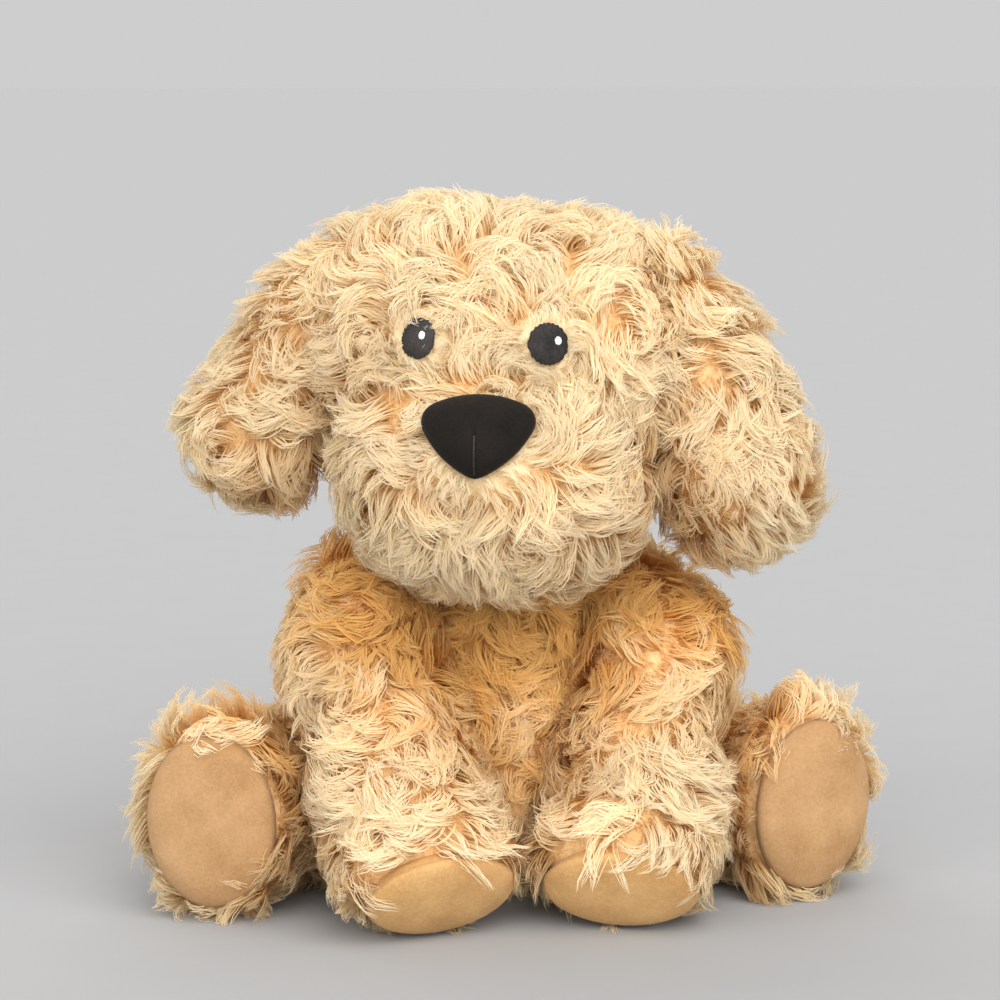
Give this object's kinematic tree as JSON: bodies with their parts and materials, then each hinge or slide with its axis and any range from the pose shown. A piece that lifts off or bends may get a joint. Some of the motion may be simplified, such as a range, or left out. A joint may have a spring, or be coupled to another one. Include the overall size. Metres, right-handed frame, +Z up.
{
  "type": "plush dog",
  "caption": "Seated soft toy dog in long curly cream fur, with floppy ears, a stuffed muzzle, flocked nose, stitched eyes and suede paw pads; head, ears, legs and tail move.",
  "frame": {"origin": "middle of the flat underside that the dog sits on", "axes": "+Z up, the dog's body faces -Y, +X to its left"},
  "size_m": [0.278, 0.22, 0.2549],
  "materials": {
    "cream_fur": "long curly pile, cream tips over golden roots, swirled into small rosettes",
    "tan_suede": "short brushed suede cloth",
    "black_velour": "short flocked velour",
    "black_thread": "satin stitch embroidery thread",
    "white_thread": "satin stitch embroidery thread",
    "stuffing": "loose polyester fibre",
    "woven_lining": "plain woven cloth",
    "plastic_beans": "small plastic pellets"
  },
  "bodies": {
    "torso": {"bean_fill": "plastic_beans", "bean_pouch": "woven_lining", "body_back_panel": "cream_fur", "body_front_panel": "cream_fur", "body_stuffing": "stuffing", "seat_panel": "cream_fur"},
    "neck": {"neck_cover": "woven_lining", "neck_stuffing": "stuffing"},
    "head": {"chin_panel": "cream_fur", "head_left_panel": "cream_fur", "head_right_panel": "cream_fur", "head_stuffing": "stuffing", "left_eye": "black_thread", "left_eye_glint": "white_thread", "muzzle_panel": "cream_fur", "muzzle_stuffing": "stuffing", "nose": "black_velour", "nose_stitch": "black_thread", "right_eye": "black_thread", "right_eye_glint": "white_thread"},
    "left_ear": {"left_ear_fur_panel": "cream_fur", "left_ear_lining": "cream_fur", "left_ear_wadding": "stuffing"},
    "right_ear": {"right_ear_fur_panel": "cream_fur", "right_ear_lining": "cream_fur", "right_ear_wadding": "stuffing"},
    "left_front_leg": {"left_front_leg_inner_panel": "cream_fur", "left_front_leg_outer_panel": "cream_fur", "left_front_leg_stuffing": "stuffing", "left_front_paw_pad": "tan_suede", "left_front_paw_underside": "cream_fur"},
    "right_front_leg": {"right_front_leg_inner_panel": "cream_fur", "right_front_leg_outer_panel": "cream_fur", "right_front_leg_stuffing": "stuffing", "right_front_paw_pad": "tan_suede", "right_front_paw_underside": "cream_fur"},
    "left_hind_leg": {"left_hind_leg_back_panel": "cream_fur", "left_hind_leg_front_panel": "cream_fur", "left_hind_leg_stuffing": "stuffing", "left_hind_paw_pad": "tan_suede", "left_hind_paw_underside": "cream_fur"},
    "right_hind_leg": {"right_hind_leg_back_panel": "cream_fur", "right_hind_leg_front_panel": "cream_fur", "right_hind_leg_stuffing": "stuffing", "right_hind_paw_pad": "tan_suede", "right_hind_paw_underside": "cream_fur"},
    "tail": {"tail_cover": "cream_fur", "tail_stuffing": "stuffing"}
  },
  "joints": [
    {"name": "neck_turn", "type": "hinge", "parent": "torso", "child": "neck", "pos_m": [0, -0.026, 0.112], "axis": [0, 0, 1], "range_deg": [-13, 38]},
    {"name": "head_nod", "type": "hinge", "parent": "neck", "child": "head", "pos_m": [0, -0.026, 0.112], "axis": [0.9563, -0.2924, 0], "range_deg": [-20, 3]},
    {"name": "left_ear_lift", "type": "hinge", "parent": "head", "child": "left_ear", "pos_m": [0.045, -0.0622, 0.223], "axis": [-0.2924, -0.9563, 0], "range_deg": [0, 60]},
    {"name": "right_ear_lift", "type": "hinge", "parent": "head", "child": "right_ear", "pos_m": [-0.0498, -0.0332, 0.2269], "axis": [0.2924, 0.9563, 0], "range_deg": [0, 60]},
    {"name": "left_front_leg_swing", "type": "hinge", "parent": "torso", "child": "left_front_leg", "pos_m": [0.052, -0.044, 0.089], "axis": [-1, 0, 0], "range_deg": [0, 48]},
    {"name": "right_front_leg_swing", "type": "hinge", "parent": "torso", "child": "right_front_leg", "pos_m": [-0.052, -0.044, 0.089], "axis": [-1, 0, 0], "range_deg": [0, 48]},
    {"name": "left_hind_leg_splay", "type": "hinge", "parent": "torso", "child": "left_hind_leg", "pos_m": [0.064, -0.002, 0.0315], "axis": [0, 0, 1], "range_deg": [0, 28]},
    {"name": "right_hind_leg_splay", "type": "hinge", "parent": "torso", "child": "right_hind_leg", "pos_m": [-0.064, -0.002, 0.0315], "axis": [0, 0, -1], "range_deg": [0, 28]},
    {"name": "tail_wag", "type": "hinge", "parent": "torso", "child": "tail", "pos_m": [0, 0.058, 0.028], "axis": [0, 0, 1], "range_deg": [-25, 25]}
  ]
}
